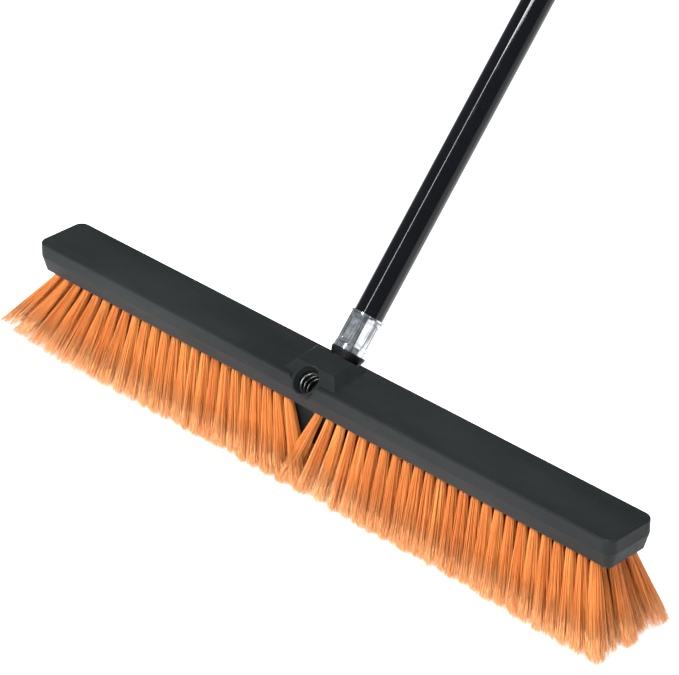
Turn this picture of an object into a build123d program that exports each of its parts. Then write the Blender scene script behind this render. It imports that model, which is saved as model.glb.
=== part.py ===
"""Push broom: a 24 inch block with five rows of bristle tufts, and a handle in one of its two sockets.

Millimetres, +Z up. The origin is the middle of the block on the floor plane, where the bristle tips stand.
+X runs along the block and +Y points to the side that the handle leans to. One STEP file per sub-part.
"""

from build123d import *
import os
from math import atan2, cos, degrees, floor, hypot, radians, sin, sqrt, tan

# Block
BLOCK_LENGTH = 610.0
BLOCK_WIDTH = 48.0
WALL_HEIGHT = 12.4  # upright upper part of the side
SKIRT_HEIGHT = 13.0  # lower part of the side, which draws in
SKIRT_INSET = 3.5
CORNER_RADIUS = 8.0
TOP_ROUND = 1.8
RIDGE_ROUND = 1.0

# Raised hub over the two sockets
HUB_HEIGHT = 7.4
HUB_TOP_LENGTH = 37.5
HUB_FOOT_LENGTH = 64.0
HUB_SKEW = 0.12  # how far the hub's ends slant along X for each millimetre along Y
HUB_ROUND = 1.0

# Housing under the hub, which runs down between the tufts
HOUSING_TOP = (60.0, 25.0)
HOUSING_FOOT = (42.0, 20.0)
HOUSING_DROP = 39.0
HOUSING_CORNER = 4.0
HOUSING_ROUND = 2.0

# Sockets, one on each long side, for a 3/4 inch, 5 turns per inch handle thread
HANDLE_RISE = 48.0  # degrees above level
MOUTH_Y = 20.4  # middle of a mouth, out from the middle of the block
MOUTH_BELOW_TOP = 0.6
SOCKET_RADIUS = 9.6
SOCKET_DEPTH = 22.5
MOUTH_RADIUS = 11.3
COUNTERSINK_DEPTH = 4.5
SEAT_RADIUS = 14.6  # flat round each mouth, cut back into the block's top edge
BOSS_RADIUS = 12.4
BOSS_DEPTH = 26.0

# Bristles
TRIM = 73.0  # bristle length below the block
ROW_SPACING = 8.0
ROW_COUNT = 5
TUFT_PITCH = 11.4
TUFT_RADIUS = 3.1
TIP_RADIUS = 5.1
TUFT_HOLE_RADIUS = 3.2
TUFT_HOLE_DEPTH = 7.0
TUFT_PLUG = 6.8
ROW_FLARE = 1.55  # row spacing at the tips over row spacing at the roots
END_FLARE = 2.15  # the same for the last tufts of a wing
TIP_LIFT = 0.7  # share of the height a leaning tuft loses that isn't made up by its length
LAST_TUFT_X = 292.0  # no tuft stands further out than this
GAP_NEAR = 11.5  # first tuft of an edge row on the side where the row runs in past the housing
GAP_FAR = 24.0  # first tuft of an edge row on the other side
GAP_HOUSING = 36.0  # first tuft of an inner row, beside the housing
WING_MIDDLE = 132.0  # where the tufts of a wing stand upright
SPLAY_LEFT = 52.0  # how far the last tufts on the left reach out at their tips
SPLAY_RIGHT = 20.0
SPLAY_GAP = 13.0  # how far the first tufts reach in under the hub
SPLAY_POWER = 1.7
STAPLE_SIZE = (6.2, 0.4, 1.6)
STAPLE_BELOW_TOP = 1.6
STAPLE_PLAY = 0.1

# Handle, measured outwards from the plane of the socket's mouth
TIP_RADIUS_THREAD = 9.52
THREAD_LENGTH = 19.5
COLLAR_TOP = 6.9
COLLAR_RADIUS = 14.0
COLLAR_FOOT_RADIUS = 11.9
COLLAR_RIM = 1.5  # height of the collar's round rim
COLLAR_BORE = 9.62
COLLAR_PLAY = 0.15
TUBE_RADIUS = 11.9
TUBE_WALL = 0.8
TUBE_START = 8.6
TUBE_LENGTH = 1480.0
NECK_RADIUS = 11.7  # the tube's end is drawn down where it goes into the ferrule
SPIGOT_RADIUS = 11.05
SPIGOT_LENGTH = 42.4
FERRULE_LENGTH = 31.0
FERRULE_FLATS = 25.6
FERRULE_BORE = 11.76
FERRULE_EDGE_ROUND = 2.0
FERRULE_TURN = 8.0  # degrees
FERRULE_FOOT_RADIUS = 14.2
FERRULE_FOOT_HEIGHT = 4.6
FERRULE_RIM_RADIUS = 13.9
FERRULE_RIM_HEIGHT = 1.5
FERRULE_NECK_RADIUS = 13.0
FERRULE_NECK_HEIGHT = 0.8
PANEL_DEPTH = 0.35
PANEL_SIZE = (9.6, 18.6)
PANEL_ROUND = 1.2
PIN_RADIUS = 1.6
PIN_HOLE_PLAY = 0.05
PIN_ABOVE_MOUTH = 24.4
CAP_RADIUS = 11.7
CAP_LENGTH = 42.0
CAP_PLUG_LENGTH = 25.0
CAP_PLUG_RADIUS = 11.05
CAP_FLAT = 12.0  # thickness of the cap's flattened end
HANG_HOLE_RADIUS = 4.5
HANG_HOLE_BELOW_END = 11.0

UNDERSIDE_Z = TRIM
RIDGE_Z = UNDERSIDE_Z + SKIRT_HEIGHT
TOP_Z = RIDGE_Z + WALL_HEIGHT
TUBE_END = TUBE_START + TUBE_LENGTH
SKIRT_TAPER = degrees(atan2(SKIRT_INSET, SKIRT_HEIGHT))


def socket_frame(side):
    """The plane of a socket's mouth, with Z out along the handle: side +1 at the back, -1 at the front."""
    rise = radians(HANDLE_RISE)
    middle = (0, side * MOUTH_Y, TOP_Z - MOUTH_BELOW_TOP)
    return Plane(origin=middle, x_dir=(1, 0, 0), z_dir=(0, side * cos(rise), sin(rise)))


BACK_SOCKET = socket_frame(1)


def rod(frame, radius, start, end):
    """A round rod along a frame's Z from start to end."""
    return frame.offset(start) * extrude(Circle(radius), end - start)


def on_handle(shape):
    """A shape drawn along Z from the mouth's plane, moved to the handle's axis."""
    return BACK_SOCKET.location * shape


def turned(points):
    """A solid turned about Z from the (radius, height) points of its section."""
    return revolve(Plane.XZ * make_face(Polyline(*points, close=True)), Axis.Z)


def hub():
    """The raised middle: a low frustum with slanting ends, whose front and back face along the sockets."""
    slope = tan(radians(HANDLE_RISE))
    foot = -(BLOCK_WIDTH / 2 - MOUTH_Y) / slope - MOUTH_BELOW_TOP
    top_y = MOUTH_Y - (HUB_HEIGHT + MOUTH_BELOW_TOP) * slope
    foot_y = BLOCK_WIDTH / 2
    across = Plane.YZ * make_face(
        Polyline(
            (-foot_y, TOP_Z + foot),
            (-top_y, TOP_Z + HUB_HEIGHT),
            (top_y, TOP_Z + HUB_HEIGHT),
            (foot_y, TOP_Z + foot),
            close=True,
        )
    )
    along = Plane.XZ * make_face(
        Polyline(
            (-HUB_FOOT_LENGTH / 2, TOP_Z + foot),
            (-HUB_TOP_LENGTH / 2, TOP_Z + HUB_HEIGHT),
            (HUB_TOP_LENGTH / 2, TOP_Z + HUB_HEIGHT),
            (HUB_FOOT_LENGTH / 2, TOP_Z + foot),
            close=True,
        )
    )
    slant = Vector(-HUB_SKEW, 1, 0)
    raised = extrude(across, HUB_FOOT_LENGTH, both=True) & extrude(along, BLOCK_WIDTH, dir=slant, both=True)
    upper = raised.edges().filter_by(lambda edge: edge.center().Z > TOP_Z + HUB_HEIGHT / 3)
    return fillet(upper, HUB_ROUND)


def socket_bosses():
    """The round lugs around both sockets, which run down into the housing."""
    return [rod(socket_frame(side), BOSS_RADIUS, -BOSS_DEPTH, 0) for side in (-1, 1)]


def housing():
    """The tapered post under the hub that backs both sockets."""
    top = Plane.XY.offset(RIDGE_Z) * RectangleRounded(*HOUSING_TOP, HOUSING_CORNER)
    root = extrude(top, RIDGE_Z - UNDERSIDE_Z, dir=(0, 0, -1))
    mouth = Plane.XY.offset(UNDERSIDE_Z) * RectangleRounded(*HOUSING_TOP, HOUSING_CORNER)
    foot = Plane.XY.offset(UNDERSIDE_Z - HOUSING_DROP) * RectangleRounded(*HOUSING_FOOT, HOUSING_CORNER)
    post = loft([mouth, foot])
    return root + fillet(post.edges().group_by(Axis.Z)[0], HOUSING_ROUND)


def socket_cut(frame):
    """The hole, the countersink and the flat seat of one socket."""
    hole = rod(frame, SOCKET_RADIUS, -SOCKET_DEPTH, COUNTERSINK_DEPTH)
    sink = turned(
        [
            (0, -COUNTERSINK_DEPTH),
            (SOCKET_RADIUS, -COUNTERSINK_DEPTH),
            (MOUTH_RADIUS, 0),
            (SEAT_RADIUS, 0),
            (SEAT_RADIUS, COUNTERSINK_DEPTH),
            (0, COUNTERSINK_DEPTH),
        ]
    )
    return [hole, frame.location * sink]


def block(tuft_roots):
    """The moulded block: straight walls, a drawn-in skirt, the hub, its housing, the sockets and holes."""
    outline = Plane.XY.offset(RIDGE_Z) * RectangleRounded(BLOCK_LENGTH, BLOCK_WIDTH, CORNER_RADIUS)
    wall = extrude(outline, WALL_HEIGHT)
    skirt = extrude(outline, SKIRT_HEIGHT, dir=(0, 0, -1), taper=SKIRT_TAPER)
    body = wall + skirt
    ridge = body.edges().filter_by(lambda edge: abs(edge.center().Z - RIDGE_Z) < 0.01)
    body = fillet(ridge, RIDGE_ROUND)
    body = fillet(body.edges().group_by(Axis.Z)[-1], TOP_ROUND)
    for piece in [hub(), housing(), *socket_bosses()]:
        body = body + piece
    for cut in socket_cut(socket_frame(-1)) + socket_cut(BACK_SOCKET):
        body = body - cut
    hole = Cylinder(TUFT_HOLE_RADIUS, TUFT_HOLE_DEPTH, align=(Align.CENTER, Align.CENTER, Align.MIN))
    return body - [Pos(x, y, UNDERSIDE_Z) * hole for x, y in tuft_roots]


def wing_tufts(row, side):
    """Where one row's tufts stand on one wing, as X positions. side is -1 on the left and +1 on the right."""
    if 0 < row < ROW_COUNT - 1:
        first = GAP_HOUSING + (row % 2) * TUFT_PITCH / 2
    else:
        first = GAP_NEAR if (row == 0) == (side > 0) else GAP_FAR
    count = floor((LAST_TUFT_X - first) / TUFT_PITCH) + 1
    return [side * (first + TUFT_PITCH * i) for i in range(count)]


def row_y(row):
    return (row - (ROW_COUNT - 1) / 2) * ROW_SPACING


def tip_of(x, y):
    """Where a tuft's tip stands: tufts fan out from the middle of each wing, and from the middle row."""
    side = 1 if x > 0 else -1
    away = side * x - WING_MIDDLE
    flare = ROW_FLARE
    if away > 0:
        share = (away / (LAST_TUFT_X - WING_MIDDLE)) ** SPLAY_POWER
        lean = share * (SPLAY_RIGHT if side > 0 else SPLAY_LEFT)
        flare += share * (END_FLARE - ROW_FLARE)
    else:
        lean = -SPLAY_GAP * (-away / (WING_MIDDLE - GAP_NEAR)) ** SPLAY_POWER
    level = hypot(lean, y * (flare - 1))
    return x + side * lean, y * flare, TIP_LIFT * (TRIM - sqrt(TRIM**2 - level**2))


def tuft(x, y):
    """One tuft as a plain solid: a plug in its hole, slotted for the staple, and a flaring bundle below."""
    bundle = loft([Pos(x, y, UNDERSIDE_Z) * Circle(TUFT_RADIUS), Pos(*tip_of(x, y)) * Circle(TIP_RADIUS)])
    plug = Cylinder(TUFT_RADIUS, TUFT_PLUG, align=(Align.CENTER, Align.CENTER, Align.MIN))
    length, width, height = STAPLE_SIZE
    slot = Box(2 * length, width + 2 * STAPLE_PLAY, height + 2 * STAPLE_PLAY)
    plug = plug - Pos(0, 0, TUFT_PLUG - STAPLE_BELOW_TOP) * slot
    return bundle + Pos(x, y, UNDERSIDE_Z) * plug


def staple(x, y):
    """The flat wire that a tuft is folded over, driven in with it."""
    return Pos(x, y, UNDERSIDE_Z + TUFT_PLUG - STAPLE_BELOW_TOP) * Box(*STAPLE_SIZE)


def threaded_tip():
    """The handle's screw end, with its shoulder under the tube and a spigot inside it."""
    end = TUBE_START - PIN_HOLE_PLAY
    chamfer_height = 1.5
    body = turned(
        [
            (0, -THREAD_LENGTH),
            (TIP_RADIUS_THREAD - chamfer_height, -THREAD_LENGTH),
            (TIP_RADIUS_THREAD, -THREAD_LENGTH + chamfer_height),
            (TIP_RADIUS_THREAD, COLLAR_TOP + PIN_HOLE_PLAY),
            (FERRULE_BORE - PIN_HOLE_PLAY, COLLAR_TOP + PIN_HOLE_PLAY),
            (FERRULE_BORE - PIN_HOLE_PLAY, end),
            (SPIGOT_RADIUS, end),
            (SPIGOT_RADIUS, SPIGOT_LENGTH),
            (0, SPIGOT_LENGTH),
        ]
    )
    return on_handle(body - pin_hole())


def pin_hole():
    """The cross hole for the tip's pin, square to the handle."""
    length = 4 * TUBE_RADIUS
    return Pos(0, 0, PIN_ABOVE_MOUTH) * Rot(0, 90, 0) * Cylinder(PIN_RADIUS + PIN_HOLE_PLAY, length)


def tip_pin():
    """The pin that locks the tip in the tube, under the ferrule."""
    length = 2 * (NECK_RADIUS - PIN_HOLE_PLAY)
    pin = Pos(0, 0, PIN_ABOVE_MOUTH) * Rot(0, 90, 0) * Cylinder(PIN_RADIUS, length)
    return on_handle(pin)


def seat_collar():
    """The loose collar that the ferrule presses into the socket's countersink."""
    nose = -COUNTERSINK_DEPTH / 2
    nose_radius = (MOUTH_RADIUS + SOCKET_RADIUS) / 2 - COLLAR_PLAY
    rim = COLLAR_TOP - COLLAR_RIM
    return on_handle(
        turned(
            [
                (COLLAR_BORE, nose),
                (nose_radius, nose),
                (MOUTH_RADIUS - COLLAR_PLAY, 0),
                (MOUTH_RADIUS - COLLAR_PLAY, COLLAR_PLAY),
                (COLLAR_FOOT_RADIUS, COLLAR_PLAY),
                (COLLAR_RADIUS, rim),
                (COLLAR_RADIUS, COLLAR_TOP),
                (COLLAR_BORE, COLLAR_TOP),
            ]
        )
    )


def ferrule():
    """The hexagonal metal sleeve over the tube's end, with a sunk panel on each flat."""
    start = COLLAR_TOP + PIN_HOLE_PLAY
    hexagon = RegularPolygon(FERRULE_FLATS / 2, 6, major_radius=False, rotation=FERRULE_TURN)
    hexagon = fillet(hexagon.vertices(), FERRULE_EDGE_ROUND)
    body = Pos(0, 0, start) * extrude(hexagon, FERRULE_LENGTH)
    foot = start + FERRULE_FOOT_HEIGHT
    neck = start + FERRULE_LENGTH - FERRULE_RIM_HEIGHT - FERRULE_NECK_HEIGHT
    rim = start + FERRULE_LENGTH - FERRULE_RIM_HEIGHT
    outer = turned(
        [
            (0, start),
            (FERRULE_FOOT_RADIUS, start),
            (FERRULE_FOOT_RADIUS, foot),
            (FERRULE_FLATS, foot + 1),
            (FERRULE_FLATS, neck - 1),
            (FERRULE_NECK_RADIUS, neck),
            (FERRULE_NECK_RADIUS, rim),
            (FERRULE_FLATS, rim),
            (FERRULE_FLATS, start + FERRULE_LENGTH),
            (0, start + FERRULE_LENGTH),
        ]
    )
    body = body & outer
    body = body + Pos(0, 0, start) * extrude(Circle(FERRULE_FOOT_RADIUS), FERRULE_FOOT_HEIGHT)
    body = body + Pos(0, 0, rim) * extrude(Circle(FERRULE_RIM_RADIUS), FERRULE_RIM_HEIGHT)
    body = body & (Pos(0, 0, start) * extrude(Circle(FERRULE_FOOT_RADIUS), FERRULE_LENGTH))
    middle = (foot + neck) / 2
    panel = extrude(RectangleRounded(PANEL_SIZE[1], PANEL_SIZE[0], PANEL_ROUND), PANEL_DEPTH * 4)
    for side in range(6):
        facing = Rot(0, 0, 60 * side + FERRULE_TURN + 30) * Pos(FERRULE_FLATS / 2 - PANEL_DEPTH, 0, middle)
        body = body - facing * Rot(0, 90, 0) * panel
    return on_handle(body - Pos(0, 0, start) * extrude(Circle(FERRULE_BORE), FERRULE_LENGTH))


def handle_tube():
    """The long steel tube, drawn down where the ferrule grips it and drilled for the tip's pin."""
    bore = TUBE_RADIUS - TUBE_WALL
    shoulder = COLLAR_TOP + PIN_HOLE_PLAY + FERRULE_LENGTH
    tube = turned(
        [
            (bore, TUBE_START),
            (NECK_RADIUS, TUBE_START),
            (NECK_RADIUS, shoulder),
            (TUBE_RADIUS, shoulder + TUBE_RADIUS - NECK_RADIUS),
            (TUBE_RADIUS, TUBE_END),
            (bore, TUBE_END),
        ]
    )
    return on_handle(tube - pin_hole())


def end_cap():
    """The plug in the tube's far end, flattened above and drilled to hang the broom up."""
    plug = Pos(0, 0, TUBE_END - CAP_PLUG_LENGTH) * extrude(Circle(CAP_PLUG_RADIUS), CAP_PLUG_LENGTH)
    start = TUBE_END + PIN_HOLE_PLAY
    shell = turned(
        [
            (0, TUBE_END),
            (CAP_PLUG_RADIUS, TUBE_END),
            (CAP_PLUG_RADIUS, start),
            (CAP_RADIUS, start),
            (CAP_RADIUS, start + CAP_LENGTH - CAP_RADIUS),
            (CAP_RADIUS * 0.92, start + CAP_LENGTH - CAP_RADIUS * 0.6),
            (CAP_RADIUS * 0.72, start + CAP_LENGTH - CAP_RADIUS * 0.28),
            (CAP_RADIUS * 0.4, start + CAP_LENGTH - CAP_RADIUS * 0.06),
            (0, start + CAP_LENGTH),
        ]
    )
    hole_z = start + CAP_LENGTH - HANG_HOLE_BELOW_END
    cap = plug + shell
    for side in (-1, 1):
        facing = Pos(side * (CAP_FLAT / 2 + CAP_RADIUS), 0, hole_z)
        cap = cap - facing * Box(2 * CAP_RADIUS, 4 * CAP_RADIUS, 2 * (HANG_HOLE_BELOW_END + HANG_HOLE_RADIUS))
    return on_handle(cap - Pos(0, 0, hole_z) * Rot(0, 90, 0) * Cylinder(HANG_HOLE_RADIUS, 4 * CAP_RADIUS))


def write(name, *shapes):
    """Writes one node, made of every solid of the given shapes."""
    solids = [solid for shape in shapes for solid in shape.solids()]
    node = solids[0] if len(solids) == 1 else Compound(children=solids)
    export_step(node, os.path.join("parts", name + ".step"))


def main():
    os.makedirs("parts", exist_ok=True)
    wings = {"left": -1, "right": 1}
    roots = {
        (row, wing): [(x, row_y(row)) for x in wing_tufts(row, side)]
        for row in range(ROW_COUNT)
        for wing, side in wings.items()
    }
    write("block", block([root for wing_roots in roots.values() for root in wing_roots]))
    for (row, wing), wing_roots in roots.items():
        write(f"bristles_{wing}_row_{row + 1}", *[tuft(x, y) for x, y in wing_roots])
    for wing in wings:
        write(f"staples_{wing}", *[staple(x, y) for r, w in roots for x, y in roots[r, w] if w == wing])
    write("seat_collar", seat_collar())
    write("threaded_tip", threaded_tip())
    write("tip_pin", tip_pin())
    write("ferrule", ferrule())
    write("handle_tube", handle_tube())
    write("end_cap", end_cap())


if __name__ == "__main__":
    main()
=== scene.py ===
"""Push broom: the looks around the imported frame. Metres, +Z up, in the frame's own axes."""

import math

import bmesh
import bpy
import numpy as np
from mathutils import Matrix, Vector


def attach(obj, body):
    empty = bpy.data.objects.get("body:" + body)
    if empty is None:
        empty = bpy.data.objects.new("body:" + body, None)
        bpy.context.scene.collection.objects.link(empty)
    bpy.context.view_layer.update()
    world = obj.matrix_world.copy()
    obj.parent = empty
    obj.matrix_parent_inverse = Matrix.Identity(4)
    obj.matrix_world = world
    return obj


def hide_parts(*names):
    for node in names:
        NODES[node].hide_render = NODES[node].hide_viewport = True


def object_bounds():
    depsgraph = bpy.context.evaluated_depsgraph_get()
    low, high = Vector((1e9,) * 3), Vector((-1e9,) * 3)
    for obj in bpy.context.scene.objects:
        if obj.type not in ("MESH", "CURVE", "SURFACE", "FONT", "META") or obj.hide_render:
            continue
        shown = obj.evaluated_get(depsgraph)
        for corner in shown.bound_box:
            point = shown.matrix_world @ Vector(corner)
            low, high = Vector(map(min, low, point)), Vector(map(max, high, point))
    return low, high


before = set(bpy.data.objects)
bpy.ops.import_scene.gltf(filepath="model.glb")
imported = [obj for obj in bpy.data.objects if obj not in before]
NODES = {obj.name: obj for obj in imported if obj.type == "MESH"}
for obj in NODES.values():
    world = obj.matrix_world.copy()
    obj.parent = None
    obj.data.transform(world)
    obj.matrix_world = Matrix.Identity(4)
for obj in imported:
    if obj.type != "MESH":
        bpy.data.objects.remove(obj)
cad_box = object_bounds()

MM = 0.001

# Camera, aimed at the middle of the block's top
CAMERA_AZIMUTH = 45.0
CAMERA_ELEVATION = 30.77
CAMERA_DISTANCE = 2.482
CAMERA_TARGET = (0.015, 0.0, 0.1325)
CAMERA_LENS = 176.5
CAMERA_CLIP = (0.05, 60)
SENSOR = 36.0

# Studio
WORLD_COLOUR = (0.86, 0.93, 1.0)
WORLD_STRENGTH = 0.35
FLOOR_REACH = 9  # from the middle of the floor to each side
FLOOR_GLOW = 0.5

# Bristle fibres. Each one splits near its end into two thinner flags.
FIBRES_PER_TUFT = 205
FIBRE_RADIUS = 0.2 * MM
FLAG_RADIUS = 0.16 * MM
FLAG_TAPER = 0.5  # a flag's radius at its end over the one at its start
FLAG_LENGTH = 17 * MM
FLAG_LEAST, FLAG_MOST = 0.5, 1.3  # a fibre's own flag length over that length
UNDERSIDE = 73 * MM  # height of the block's underside over the floor
ROOT_DEPTH = 2.5 * MM  # how far the fibres go up into the block
MOUTH_BULGE = 3.8 * MM  # a tuft's radius just below its hole
BULGE_BELOW = 5 * MM  # how far below the underside that is
BULGE_SHARE = 0.07  # the share of a fibre's length that lies above it
FRINGE_RADIUS = 6.8 * MM  # a tuft's radius at its tip
FRINGE_SPREAD = 0.08  # added to that, as a part of the distance the tip stands out from the root

# The fibres beside the hub's housing lean in over it at their tips
GAP_LEAN = 19 * MM
GAP_START = 11.5 * MM  # distance from the middle where they lean by that much
GAP_REACH = 22 * MM  # with each such step outwards the lean falls to its 1/e

# Spreads of the random level offsets
TUFT_JITTER = 0.6 * MM
SPLAY_JITTER = 0.7 * MM
MIDDLE_JITTER = 0.22 * MM
FORK_JITTER = 0.3 * MM
FLAG_JITTER = 0.75 * MM
FLAG_RISE = 1.1 * MM  # spread of the flags' ends in height
STRAY_SHARE = 0.02  # share of the fibres that stray
STRAY_FACTOR = 4.5  # their offset over that of the rest
FIRST_SEED = 100

# Shades of the fibres, from 0 to 1
SHADE_MIDDLE = 0.5
SHADE_SPREAD = 0.27
TUFT_SHADE_SPREAD = 0.08

# Measuring the CAD's tufts
WELD = 1e-6
RING_TOLERANCE = 0.1 * MM

# Screw thread, on the handle's tip and in both sockets. Heights count outwards from a socket's mouth.
MOUTH = (0.0, 20.4 * MM, 97.8 * MM)  # middle of the back socket's mouth
HANDLE_RISE = math.radians(48)
THREAD_LEAD = 5.08 * MM
THREAD_OUTER = 9.4 * MM
THREAD_ROOT = 7.6 * MM
SOCKET_CREST = 7.95 * MM
SOCKET_WALL = 9.68 * MM
SOCKET_END = -22.5 * MM
SOCKET_START = -4.5 * MM
SOCKET_RIDGE = (SOCKET_END + 1.6 * MM, SOCKET_START - 1.3 * MM)
SOCKET_RIDGE_WIDTH = 2.3 * MM
TIP_END = -19.5 * MM
TIP_CHAMFER = 1.2 * MM
TIP_RIDGE = (TIP_END + 2 * MM, SOCKET_START + 1.6 * MM)
TIP_RIDGE_FOOT = THREAD_ROOT - 0.1 * MM  # sunk in the core
TIP_RIDGE_WIDTH = 2.6 * MM
RIDGE_STEPS = 64  # steps in each turn of a ridge
RIDGE_TAPER = 0.3  # the part of a turn in which a ridge's end tapers out
RIDGE_LEAST = 0.02  # height of a ridge at its very end, over its full height
RIDGE_SECTION = [  # across and up, over a ridge's width and height
    (-0.5, 0.0), (-0.44, 0.4), (-0.3, 0.85), (-0.14, 1.0),
    (0.14, 1.0), (0.3, 0.85), (0.44, 0.4), (0.5, 0.0),
]

# The tip above its thread: a neck in the seat collar, a shoulder and a spigot in the tube
NECK_CONE = SOCKET_START + 1.2 * MM
NECK_START = SOCKET_START + 3 * MM
NECK_RADIUS = 9.5 * MM
COLLAR_TOP = 6.95 * MM
SHOULDER_RADIUS = 11.71 * MM
TUBE_START = 8.55 * MM
SPIGOT_RADIUS = 11.05 * MM
SPIGOT_CHAMFER = MM
SPIGOT_END = 42.4 * MM
TURN_STEPS = 96  # steps round a turned solid

# Surfaces
EDGE_WIDTH = 1.4 * MM  # width of the worn or dark lines along edges
EDGE_FLAT, EDGE_SHARP = 0.985, 0.8  # cosine between the rounded and the flat normal: off an edge, on it
EDGE_SAMPLES = 4
MIX_FIRST, MIX_SECOND, MIX_COLOUR = 6, 7, 2  # colour sockets of the Mix node


# ---------------------------------------------------------------- small tools

def placed(name, data):
    """A new object in the scene with a mesh, a camera or a light in it."""
    thing = bpy.data.objects.new(name, data)
    bpy.context.scene.collection.objects.link(thing)
    return thing


def piece_from(name, points, faces, smooth=True):
    """A mesh object from plain lists of points and faces."""
    mesh = bpy.data.meshes.new(name)
    mesh.from_pydata(points, [], faces)
    mesh.update()
    for polygon in mesh.polygons:
        polygon.use_smooth = smooth
    return placed(name, mesh)


def frame_along(origin, axis):
    """A matrix whose Z runs along axis and whose X stays level."""
    z = Vector(axis).normalized()
    x = Vector((1, 0, 0))
    y = z.cross(x).normalized()
    matrix = Matrix((x, y, z)).transposed().to_4x4()
    matrix.translation = Vector(origin)
    return matrix


def round_axis(radius, angle, height):
    """The point at a radius, an angle and a height round the Z axis."""
    return Vector((radius * math.cos(angle), radius * math.sin(angle), height))


class Tree:
    """A material's node tree, with short ways to add and join nodes."""

    def __init__(self, name):
        self.material = bpy.data.materials.new(name)
        self.material.use_nodes = True
        self.nodes = self.material.node_tree.nodes
        self.links = self.material.node_tree.links
        self.principled = self.nodes["Principled BSDF"]
        self.output = self.nodes["Material Output"]

    def join(self, value, socket):
        """Links an output to an input, or sets the input to a plain value."""
        if isinstance(value, bpy.types.NodeSocket):
            self.links.new(value, socket)
        elif value is not None:
            socket.default_value = value

    def add(self, kind, inputs=(), **settings):
        """A new node with its inputs joined and its settings made."""
        node = self.nodes.new("ShaderNode" + kind)
        for key, value in settings.items():
            setattr(node, key, value)
        for key, value in dict(inputs).items():
            self.join(value, node.inputs[key])
        return node

    def noise(self, scale, detail, roughness, stretch=(1, 1, 1)):
        """Noise in object coordinates. A stretch below 1 draws it out along that axis."""
        coordinates = self.add("TexCoord").outputs["Object"]
        place = self.add("Mapping", {"Vector": coordinates, "Scale": stretch}).outputs[0]
        inputs = {"Vector": place, "Scale": scale, "Detail": detail, "Roughness": roughness}
        return self.add("TexNoise", inputs).outputs[0]

    def ramp(self, value, low, high, out_low=0.0, out_high=1.0):
        """A value carried from low..high to out_low..out_high, and held there."""
        inputs = {"Value": value, "From Min": low, "From Max": high, "To Min": out_low, "To Max": out_high}
        return self.add("MapRange", inputs).outputs[0]

    def maths(self, operation, *values):
        node = self.add("Math", operation=operation)
        for value, socket in zip(values, node.inputs):
            self.join(value, socket)
        return node.outputs[0]

    def mix(self, factor, first, second):
        """A colour between first and second."""
        node = self.add("Mix", data_type="RGBA")
        self.join(factor, node.inputs[0])
        self.join(first, node.inputs[MIX_FIRST])
        self.join(second, node.inputs[MIX_SECOND])
        return node.outputs[MIX_COLOUR]

    def bump(self, height, distance, strength, normal=None):
        """A normal with the height's relief on it, over another normal if one is given."""
        node = self.add("Bump", {"Height": height, "Distance": distance, "Strength": strength})
        if normal is not None:
            self.links.new(normal, node.inputs["Normal"])
        return node.outputs[0]

    def edges(self):
        """1 on convex and concave edges, 0 on flats."""
        rounded = self.add("Bevel", {"Radius": EDGE_WIDTH}, samples=EDGE_SAMPLES).outputs[0]
        flat = self.add("NewGeometry").outputs["Normal"]
        dot = self.add("VectorMath", {0: rounded, 1: flat}, operation="DOT_PRODUCT").outputs["Value"]
        return self.ramp(dot, EDGE_FLAT, EDGE_SHARP)

    def finish(self, **inputs):
        """Sets the Principled shader's inputs, with _ for each space in a name. Returns the material."""
        for key, value in inputs.items():
            self.join(value, self.principled.inputs[key.replace("_", " ")])
        return self.material


def rgb(red, green, blue):
    return (red, green, blue, 1.0)


# ---------------------------------------------------------------- materials

def moulded_plastic(name, dark, light, roughness=0.5, grain=0.05, specular=0.1):
    """Black moulded plastic: fine spark texture, flow streaks, dull patches and paler rubbed edges."""
    scuff_colour = rgb(0.03, 0.032, 0.034)
    worn_colour = rgb(0.05, 0.053, 0.055)
    tree = Tree(name)
    patches = tree.noise(scale=14, detail=4, roughness=0.6, stretch=(0.35, 1, 1))
    streaks = tree.noise(scale=60, detail=5, roughness=0.65, stretch=(0.12, 1, 1))
    fine = tree.noise(scale=2600, detail=2, roughness=0.5)
    scuffs = tree.ramp(tree.noise(scale=230, detail=3, roughness=0.6, stretch=(1, 0.18, 1)), 0.62, 0.78)
    rubbed = tree.ramp(tree.noise(scale=120, detail=4, roughness=0.7), 0.35, 0.65)
    worn = tree.maths("MULTIPLY", tree.edges(), rubbed)
    colour = tree.mix(tree.ramp(patches, 0.3, 0.7), rgb(*dark), rgb(*light))
    colour = tree.mix(tree.maths("MULTIPLY", scuffs, 0.2), colour, scuff_colour)
    colour = tree.mix(tree.maths("MULTIPLY", worn, 0.5), colour, worn_colour)
    rough = tree.ramp(streaks, 0.3, 0.7, roughness - 0.05, roughness + 0.07)
    normal = tree.bump(fine, distance=grain * MM, strength=0.5)
    normal = tree.bump(streaks, distance=0.12 * MM, strength=0.35, normal=normal)
    return tree.finish(Base_Color=colour, Roughness=rough, Normal=normal, Specular_IOR_Level=specular)


def gloss_paint(name):
    """Gloss black enamel on a tube: orange peel, hairline scratches along it and a little dust."""
    paint_colour = rgb(0.002, 0.002, 0.003)
    dust_colour = rgb(0.007, 0.009, 0.013)
    tree = Tree(name)
    peel = tree.noise(scale=420, detail=2, roughness=0.5)
    scratches = tree.ramp(tree.noise(scale=900, detail=2, roughness=0.5, stretch=(1, 0.03, 0.03)), 0.66, 0.74)
    dust = tree.ramp(tree.noise(scale=40, detail=6, roughness=0.7), 0.5, 0.75)
    colour = tree.mix(tree.maths("MULTIPLY", dust, 0.25), paint_colour, dust_colour)
    rough = tree.maths("ADD", tree.ramp(dust, 0, 1, 0.06, 0.12), tree.maths("MULTIPLY", scratches, 0.12))
    normal = tree.bump(peel, distance=0.03 * MM, strength=0.25)
    return tree.finish(Base_Color=colour, Roughness=rough, Normal=normal, Specular_IOR_Level=0.25)


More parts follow.
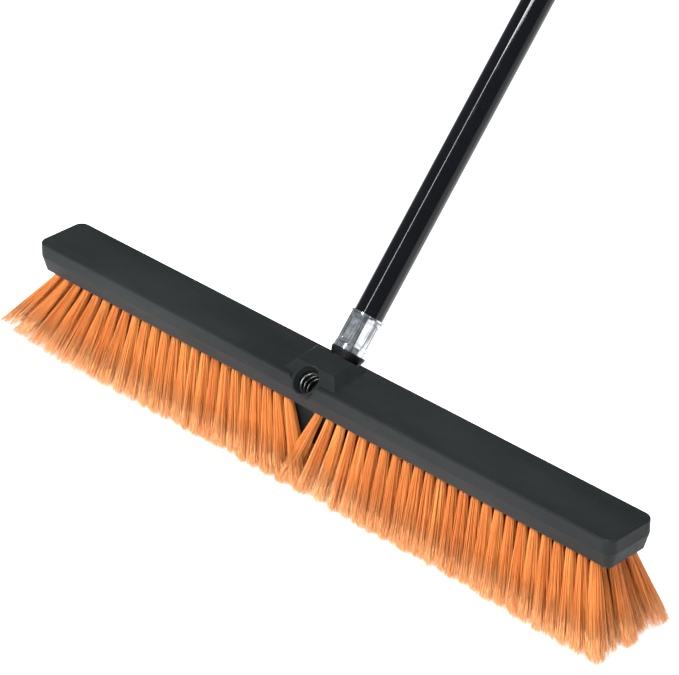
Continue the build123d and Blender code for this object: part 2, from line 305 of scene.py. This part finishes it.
def zinc(name):
    """Bright zinc plate: drawing lines along the sleeve, dull clouds, and painted shade as dark lines along
    its edges.
    """
    dull_colour, bright_colour = rgb(0.42, 0.43, 0.45), rgb(0.82, 0.83, 0.85)
    line_colour, edge_shade_colour = rgb(0.09, 0.095, 0.105), rgb(0.08, 0.085, 0.09)
    tree = Tree(name)
    lines = tree.noise(scale=520, detail=3, roughness=0.6, stretch=(1, 0.04, 0.04))
    cloud = tree.noise(scale=160, detail=5, roughness=0.65)
    colour = tree.mix(tree.ramp(cloud, 0.3, 0.7), dull_colour, bright_colour)
    colour = tree.mix(tree.maths("MULTIPLY", tree.ramp(lines, 0.5, 0.62), 0.75), colour, line_colour)
    # painted shade: every edge of the sleeve, convex and concave alike, is darkened almost to black in its
    # colour
    colour = tree.mix(tree.maths("MULTIPLY", tree.edges(), 0.95), colour, edge_shade_colour)
    rough = tree.maths("ADD", tree.ramp(cloud, 0.3, 0.7, 0.08, 0.18), tree.ramp(lines, 0.4, 0.7, 0.0, 0.1))
    normal = tree.bump(lines, distance=0.03 * MM, strength=0.5)
    normal = tree.bump(cloud, distance=0.12 * MM, strength=0.3, normal=normal)
    return tree.finish(Base_Color=colour, Roughness=rough, Normal=normal, Metallic=1.0)


def drawn_steel(name):
    """Drawn steel wire: fine lines along it."""
    tree = Tree(name)
    lines = tree.noise(scale=900, detail=3, roughness=0.6, stretch=(0.05, 1, 1))
    colour = tree.mix(tree.ramp(lines, 0.3, 0.7), rgb(0.42, 0.42, 0.43), rgb(0.66, 0.66, 0.66))
    rough = tree.ramp(lines, 0.3, 0.7, 0.28, 0.45)
    normal = tree.bump(lines, distance=0.01 * MM, strength=0.4)
    return tree.finish(Base_Color=colour, Roughness=rough, Normal=normal, Metallic=1.0)


def bristle_fibre(name):
    """Orange plastic fibre: each fibre has its own shade, and the flagged ends are paler and duller."""
    light_through = 0.35
    tree = Tree(name)
    shade = tree.add("Attribute", attribute_name="shade").outputs["Fac"]
    along = tree.add("Attribute", attribute_name="along").outputs["Fac"]
    body = tree.mix(shade, rgb(0.74, 0.17, 0.025), rgb(1.0, 0.46, 0.11))
    pale = tree.mix(shade, rgb(0.93, 0.42, 0.13), rgb(1.0, 0.7, 0.36))
    colour = tree.mix(tree.ramp(along, 0.55, 0.95), body, pale)
    rough = tree.ramp(along, 0.6, 1.0, 0.35, 0.6)
    tree.finish(Base_Color=colour, Roughness=rough)
    through = tree.add("BsdfTranslucent", {"Color": colour}).outputs[0]
    both = tree.add("MixShader", {0: light_through, 1: tree.principled.outputs[0], 2: through}).outputs[0]
    tree.links.new(both, tree.output.inputs["Surface"])
    return tree.material


# ---------------------------------------------------------------- bristles

def tufts_of(node):
    """Each CAD tuft of a row as (root centre, root radius, tip centre), from left to right."""
    graph = bmesh.new()
    graph.from_mesh(NODES[node].data)
    bmesh.ops.remove_doubles(graph, verts=graph.verts, dist=WELD)
    seen = set()
    tufts = []
    for start in graph.verts:
        if start.index in seen:
            continue
        seen.add(start.index)
        island, front = [], [start]
        while front:
            vert = front.pop()
            island.append(vert.co.copy())
            for edge in vert.link_edges:
                other = edge.other_vert(vert)
                if other.index not in seen:
                    seen.add(other.index)
                    front.append(other)
        points = np.array(island)
        tufts.append((*ring_at(points, UNDERSIDE), ring_at(points, points[:, 2].min())[0]))
    graph.free()
    return sorted(tufts, key=lambda tuft: tuft[0][0])


def ring_at(points, height):
    """Centre and radius of the ring of points at one height."""
    ring = points[np.abs(points[:, 2] - height) < RING_TOLERANCE]
    low, high = ring.min(0), ring.max(0)
    return (low + high) / 2, (high[0] - low[0]) / 2


def tube_corners(path, radii, turn):
    """The corner points of three-sided rings along many fibres at once. path is (fibres, rings, 3)."""
    angles = turn[:, None, None] + np.arange(3)[None, None, :] * 2 * math.pi / 3
    offset = np.stack([np.cos(angles), np.sin(angles), np.zeros_like(angles)], -1)
    return path[:, :, None, :] + offset * radii[:, :, None, None]


def tube_faces(rings):
    """Faces of one closed three-sided tube with that many rings, the first of them on top."""
    faces = [(0, 1, 2)]
    for ring in range(rings - 1):
        for side in range(3):
            a, b = 3 * ring + side, 3 * ring + (side + 1) % 3
            faces += [(b, a, b + 3), (b + 3, a, a + 3)]
    last = 3 * (rings - 1)
    return np.array(faces + [(last + 2, last + 1, last)])


def sideways(rng, spread, count):
    """Random level offsets."""
    return rng.normal(0, spread, (count, 3)) * (1, 1, 0)


def kept_in(points):
    """The same points, held inside the CAD's box as seen from above."""
    low, high = cad_box
    points[:, 0] = np.clip(points[:, 0], low.x + FIBRE_RADIUS, high.x - FIBRE_RADIUS)
    points[:, 1] = np.clip(points[:, 1], low.y + FIBRE_RADIUS, high.y - FIBRE_RADIUS)
    return points


def tuft_fibres(rng, tuft):
    """One tuft's fibres, in batches of (path, radii, share of the length): the bodies, then their flags."""
    root, root_radius, tip = tuft
    count = FIBRES_PER_TUFT
    fringe = FRINGE_RADIUS + FRINGE_SPREAD * np.hypot(*(tip - root)[:2])
    lean = GAP_LEAN * math.exp((GAP_START - abs(root[0])) / GAP_REACH)
    tip = tip - (math.copysign(lean, root[0]), 0, 0)
    angle = rng.uniform(0, 2 * math.pi, count)
    disc = np.stack([np.cos(angle), np.sin(angle), np.zeros(count)], -1)
    disc *= np.sqrt(rng.uniform(0, 1, count))[:, None]
    top = root + disc * (root_radius - 2 * FIBRE_RADIUS) + (0, 0, ROOT_DEPTH)
    down = tip - root
    bulge = root + disc * MOUTH_BULGE + down * (BULGE_BELOW / UNDERSIDE)
    stray = np.where(rng.uniform(0, 1, count) < STRAY_SHARE, STRAY_FACTOR, 1.0)[:, None]
    bottom = tip + disc * fringe + sideways(rng, SPLAY_JITTER, count) * stray + sideways(rng, TUFT_JITTER, 1)
    bottom[:, 2] += FLAG_RADIUS
    bottom = kept_in(bottom)
    split = (1 - FLAG_LENGTH / UNDERSIDE * rng.uniform(FLAG_LEAST, FLAG_MOST, count))[:, None]
    middle = bulge + (bottom - bulge) * split * 0.5 + sideways(rng, MIDDLE_JITTER, count)
    fork = bulge + (bottom - bulge) * split + sideways(rng, FORK_JITTER, count)
    path = np.stack([top, bulge, middle, fork], 1)
    share = np.concatenate([np.zeros((count, 1)), np.full((count, 1), BULGE_SHARE), split * 0.5, split], 1)
    batches = [(path, np.full(share.shape, FIBRE_RADIUS), share)]
    for _ in range(2):
        end = bottom + sideways(rng, FLAG_JITTER, count) * stray
        end[:, 2] = tip[2] + np.abs(rng.normal(0, FLAG_RISE, count))
        flag = np.stack([fork, kept_in(end)], 1)
        flag_share = np.concatenate([split, np.ones((count, 1))], 1)
        batches.append((flag, np.tile([FLAG_RADIUS, FLAG_RADIUS * FLAG_TAPER], (count, 1)), flag_share))
    return batches


def fibre_row(node, seed, material):
    """All the fibres of one row, as one piece: each tuft's fibres fan from its hole and split into flags."""
    rng = np.random.default_rng(seed)
    points, shades, alongs, faces = [], [], [], []
    used = 0
    for tuft in tufts_of(node):
        count = FIBRES_PER_TUFT
        shade = rng.normal(SHADE_MIDDLE, SHADE_SPREAD, count) + rng.normal(0, TUFT_SHADE_SPREAD)
        shade = np.clip(shade, 0, 1)
        turn = rng.uniform(0, 2 * math.pi, count)
        for path, radii, share in tuft_fibres(rng, tuft):
            corners = path.shape[1] * 3
            points.append(tube_corners(path, radii, turn).reshape(-1, 3))
            shades.append(np.repeat(shade, corners))
            alongs.append(np.repeat(share.reshape(-1), 3))
            starts = used + np.arange(count) * corners
            faces.append((starts[:, None, None] + tube_faces(path.shape[1])[None]).reshape(-1, 3))
            used += count * corners
    return fibre_piece(node + "_fibres", np.concatenate(points), np.concatenate(faces),
                       np.concatenate(shades), np.concatenate(alongs), material)


def fibre_piece(name, points, faces, shades, alongs, material):
    """A smooth piece of triangles that carries each point's shade and its share of the fibre's length."""
    mesh = bpy.data.meshes.new(name)
    mesh.vertices.add(len(points))
    mesh.vertices.foreach_set("co", points.astype(np.float32).ravel())
    mesh.loops.add(faces.size)
    mesh.loops.foreach_set("vertex_index", faces.astype(np.int32).ravel())
    mesh.polygons.add(len(faces))
    mesh.polygons.foreach_set("loop_start", np.arange(0, faces.size, 3, dtype=np.int32))
    mesh.polygons.foreach_set("use_smooth", np.ones(len(faces), bool))
    for label, values in (("shade", shades), ("along", alongs)):
        attribute = mesh.attributes.new(label, "FLOAT", "POINT")
        attribute.data.foreach_set("value", values.astype(np.float32))
    mesh.update()
    mesh.validate()
    mesh.materials.append(material)
    return placed(name, mesh)


# ---------------------------------------------------------------- screw threads

def helix_ridge(name, place, ends, foot_radius, crest_radius, width, phase):
    """A closed ridge that winds right-handed round a frame's Z. Its ends taper out of the wall."""
    start, end = ends
    steps = int((end - start) / THREAD_LEAD * RIDGE_STEPS)
    taper = RIDGE_STEPS * RIDGE_TAPER
    points, faces = [], []
    corners = len(RIDGE_SECTION)
    for step in range(steps + 1):
        angle = 2 * math.pi * step / RIDGE_STEPS + phase
        height = start + THREAD_LEAD * step / RIDGE_STEPS
        runout = max(RIDGE_LEAST, min(1.0, step / taper, (steps - step) / taper))
        for across, up in RIDGE_SECTION:
            radius = foot_radius + (crest_radius - foot_radius) * up * runout
            points.append(place @ round_axis(radius, angle, height + across * width))
    inward = crest_radius < foot_radius
    for step in range(steps):
        for corner in range(corners):
            a = step * corners + corner
            b = step * corners + (corner + 1) % corners
            quad = (a, b, b + corners, a + corners)
            faces.append(quad if inward else quad[::-1])
    first = tuple(range(corners))
    last = tuple(range(steps * corners, (steps + 1) * corners))
    faces += [first[::-1], last] if inward else [first, last[::-1]]
    return piece_from(name, points, faces)


def turned(name, place, section):
    """A closed solid turned about a frame's Z from (radius, height) points, closed flat at both ends."""
    points, faces = [], []
    for radius, height in section:
        for step in range(TURN_STEPS):
            points.append(place @ round_axis(radius, 2 * math.pi * step / TURN_STEPS, height))
    for ring in range(len(section) - 1):
        for step in range(TURN_STEPS):
            a, b = ring * TURN_STEPS + step, ring * TURN_STEPS + (step + 1) % TURN_STEPS
            faces.append((a, b, b + TURN_STEPS, a + TURN_STEPS))
    last = (len(section) - 1) * TURN_STEPS
    faces += [tuple(range(TURN_STEPS))[::-1], tuple(range(last, last + TURN_STEPS))]
    return piece_from(name, points, faces, smooth=False)


def threads(socket_material, tip_material):
    """The ridges in both sockets, and the handle's screw tip that rides in the back one."""
    slope = Vector((0, math.cos(HANDLE_RISE), math.sin(HANDLE_RISE)))
    back = frame_along(MOUTH, slope)
    front = frame_along((MOUTH[0], -MOUTH[1], MOUTH[2]), (0, -slope.y, slope.z))
    for name, place in (("socket_thread_back", back), ("socket_thread_front", front)):
        ridge = helix_ridge(name, place, SOCKET_RIDGE, SOCKET_WALL, SOCKET_CREST, SOCKET_RIDGE_WIDTH, 0.0)
        ridge.data.materials.append(socket_material)
        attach(ridge, "head")
    core = turned("tip_core", back, [
        (THREAD_ROOT - TIP_CHAMFER, TIP_END),
        (THREAD_ROOT, TIP_END + TIP_CHAMFER),
        (THREAD_ROOT, NECK_CONE),
        (NECK_RADIUS, NECK_START),
        (NECK_RADIUS, COLLAR_TOP),
        (SHOULDER_RADIUS, COLLAR_TOP),
        (SHOULDER_RADIUS, TUBE_START),
        (SPIGOT_RADIUS, TUBE_START),
        (SPIGOT_RADIUS, SPIGOT_END - SPIGOT_CHAMFER),
        (SPIGOT_RADIUS - SPIGOT_CHAMFER, SPIGOT_END),
    ])
    # half a turn away from the socket's ridge at the same height
    phase = math.pi + 2 * math.pi * (TIP_RIDGE[0] - SOCKET_RIDGE[0]) / THREAD_LEAD
    screw = helix_ridge("tip_thread", back, TIP_RIDGE, TIP_RIDGE_FOOT, THREAD_OUTER, TIP_RIDGE_WIDTH, phase)
    for piece in (core, screw):
        piece.data.materials.append(tip_material)
        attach(piece, "handle")
        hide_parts("threaded_tip")


# ---------------------------------------------------------------- studio

def aim(thing, target):
    """Turns a camera or a light to face a point."""
    direction = Vector(target) - thing.location
    thing.rotation_mode = "QUATERNION"
    thing.rotation_quaternion = direction.to_track_quat("-Z", "Y")


def from_target(azimuth, elevation, distance):
    """The point at a distance from the camera's target. Angles in degrees, azimuth from -Y towards +X."""
    a, e = math.radians(azimuth), math.radians(elevation)
    away = Vector((math.sin(a) * math.cos(e), -math.cos(a) * math.cos(e), math.sin(e)))
    return Vector(CAMERA_TARGET) + away * distance


def camera():
    data = bpy.data.cameras.new("camera")
    data.lens, data.sensor_width = CAMERA_LENS, SENSOR
    data.clip_start, data.clip_end = CAMERA_CLIP
    eye = placed("camera", data)
    eye.location = from_target(CAMERA_AZIMUTH, CAMERA_ELEVATION, CAMERA_DISTANCE)
    aim(eye, CAMERA_TARGET)
    bpy.context.scene.camera = eye


def area_light(name, azimuth, elevation, distance, size, power):
    """A soft light that faces the camera's target."""
    data = bpy.data.lights.new(name, "AREA")
    data.shape = "RECTANGLE"
    data.size, data.size_y = size
    data.energy = power
    lamp = placed(name, data)
    lamp.location = from_target(azimuth, elevation, distance)
    aim(lamp, CAMERA_TARGET)


def studio():
    """A pale floor, a pale world and four soft lights."""
    world = bpy.data.worlds.new("studio")
    bpy.context.scene.world = world
    world.use_nodes = True
    background = world.node_tree.nodes["Background"]
    background.inputs["Color"].default_value = rgb(*WORLD_COLOUR)
    background.inputs["Strength"].default_value = WORLD_STRENGTH
    r = FLOOR_REACH
    corners = [(-r, -r, 0), (r, -r, 0), (r, r, 0), (-r, r, 0)]
    floor = piece_from("floor", corners, [(0, 1, 2, 3)], smooth=False)
    tree = Tree("floor")
    floor.data.materials.append(tree.finish(
        Base_Color=rgb(0.93, 0.93, 0.94), Roughness=0.9,
        Emission_Color=rgb(1, 1, 1), Emission_Strength=FLOOR_GLOW))
    area_light("key", azimuth=12, elevation=66, distance=2.6, size=(1.0, 1.0), power=92)
    area_light("front", azimuth=18, elevation=13, distance=2.8, size=(1.3, 0.8), power=46)
    area_light("strip", azimuth=-4, elevation=40, distance=2.4, size=(0.13, 1.6), power=24)
    area_light("side", azimuth=100, elevation=62, distance=3.0, size=(0.8, 0.8), power=22)
    bpy.context.scene.view_settings.view_transform = "Standard"


# ---------------------------------------------------------------- the broom

def dress(node, material):
    """Gives a CAD node its material."""
    data = NODES[node].data
    data.materials.clear()
    data.materials.append(material)


def broom():
    """Materials on the CAD's own pieces, then the screw threads and the fibres that replace the tufts."""
    block_plastic = moulded_plastic("block_plastic", (0.008, 0.0092, 0.0095), (0.017, 0.0195, 0.0195))
    handle_plastic = moulded_plastic("handle_plastic", (0.004, 0.004, 0.0045), (0.008, 0.008, 0.009),
                                     roughness=0.42, grain=0.03)
    dress("block", block_plastic)
    dress("seat_collar", handle_plastic)
    dress("end_cap", handle_plastic)
    dress("ferrule", zinc("ferrule_metal"))
    dress("handle_tube", gloss_paint("tube_paint"))
    steel = drawn_steel("steel")
    for node in ("staples_left", "staples_right", "tip_pin"):
        dress(node, steel)
    dress("threaded_tip", handle_plastic)
    thread_plastic = moulded_plastic("thread_plastic", (0.006, 0.007, 0.007), (0.015, 0.016, 0.017),
                                     roughness=0.24, grain=0.02, specular=0.6)
    threads(thread_plastic, handle_plastic)

    fibre = bristle_fibre("bristle")
    rows = sorted(node for node in NODES if node.startswith("bristles_"))
    for index, node in enumerate(rows):
        piece = fibre_row(node, FIRST_SEED + index, fibre)
        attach(piece, "head")
        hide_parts(node)


camera()
studio()
broom()
